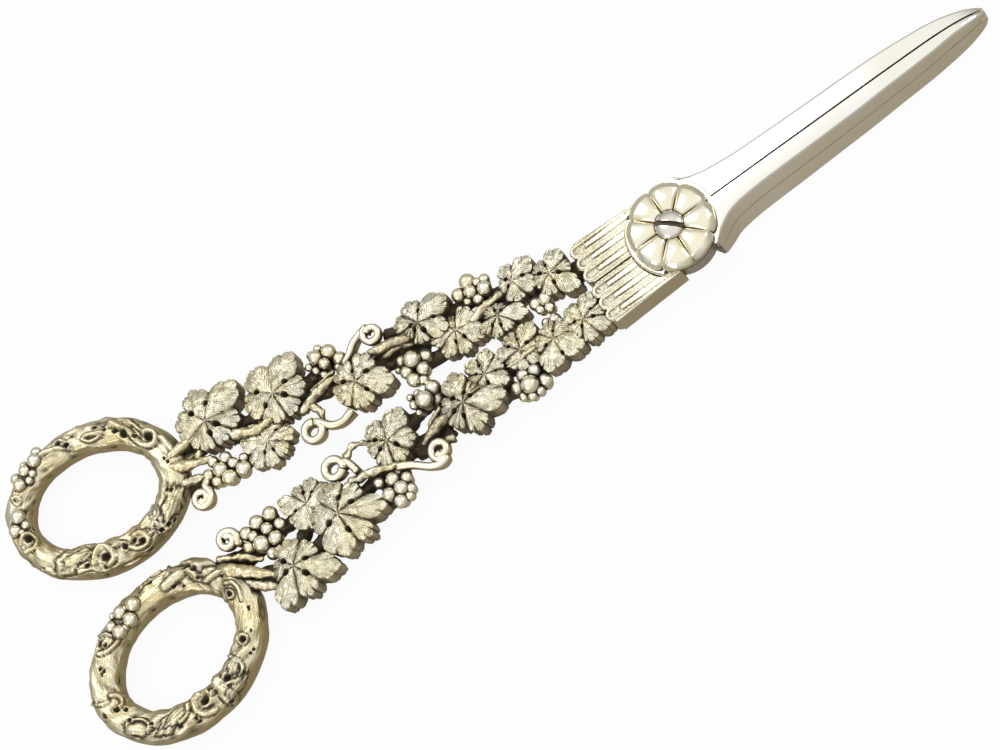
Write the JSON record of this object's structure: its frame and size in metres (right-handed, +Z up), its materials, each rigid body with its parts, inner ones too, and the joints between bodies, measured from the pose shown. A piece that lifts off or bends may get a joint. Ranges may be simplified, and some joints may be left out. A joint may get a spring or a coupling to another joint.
{
  "type": "grape shears",
  "caption": "Scissor-action table shears with lapped straight blades, a screwed rosette pivot, cast vine handles with applied leaves and grapes, and oval branch finger rings.",
  "frame": {"origin": "on the pivot's axis, level with the flat underside the shears lie on", "axes": "+X along the blades towards their tip, +Y towards the left handle seen from above, +Z up through the rosette"},
  "size_m": [0.1801, 0.057, 0.0088],
  "materials": {
    "polished_gilt": "polished",
    "chased_gilt": "satin, chased and stippled",
    "burnished_gilt": "polished",
    "oxidised_gilt": "cast, darkened in the recesses",
    "bright_silver": "polished"
  },
  "bodies": {
    "under_half": {"pivot_nut": "bright_silver", "pivot_screw": "bright_silver", "under_blade": "polished_gilt", "under_grapes_1": "burnished_gilt", "under_grapes_2": "burnished_gilt", "under_grapes_3": "burnished_gilt", "under_grapes_4": "burnished_gilt", "under_grapes_5": "burnished_gilt", "under_leaf_1": "chased_gilt", "under_leaf_2": "chased_gilt", "under_leaf_3": "chased_gilt", "under_leaf_4": "chased_gilt", "under_leaf_5": "chased_gilt", "under_leaf_6": "chased_gilt", "under_leaf_7": "chased_gilt", "under_leaf_8": "chased_gilt", "under_leaf_9": "chased_gilt", "under_ring": "chased_gilt", "under_shank": "chased_gilt", "under_tendril_1": "burnished_gilt", "under_tendril_2": "burnished_gilt", "under_tendril_3": "burnished_gilt", "under_vine": "oxidised_gilt"},
    "over_half": {"over_blade": "polished_gilt", "over_grapes_1": "burnished_gilt", "over_grapes_2": "burnished_gilt", "over_grapes_3": "burnished_gilt", "over_grapes_4": "burnished_gilt", "over_grapes_5": "burnished_gilt", "over_leaf_1": "chased_gilt", "over_leaf_2": "chased_gilt", "over_leaf_3": "chased_gilt", "over_leaf_4": "chased_gilt", "over_leaf_5": "chased_gilt", "over_leaf_6": "chased_gilt", "over_leaf_7": "chased_gilt", "over_leaf_8": "chased_gilt", "over_leaf_9": "chased_gilt", "over_ring": "chased_gilt", "over_shank": "chased_gilt", "over_tendril_1": "burnished_gilt", "over_tendril_2": "burnished_gilt", "over_tendril_3": "burnished_gilt", "over_vine": "oxidised_gilt", "rosette": "polished_gilt"}
  },
  "joints": [
    {"name": "pivot", "type": "hinge", "parent": "under_half", "child": "over_half", "pos_m": [0, 0, 0], "axis": [0, 0, -1], "range_deg": [0, 40]}
  ]
}
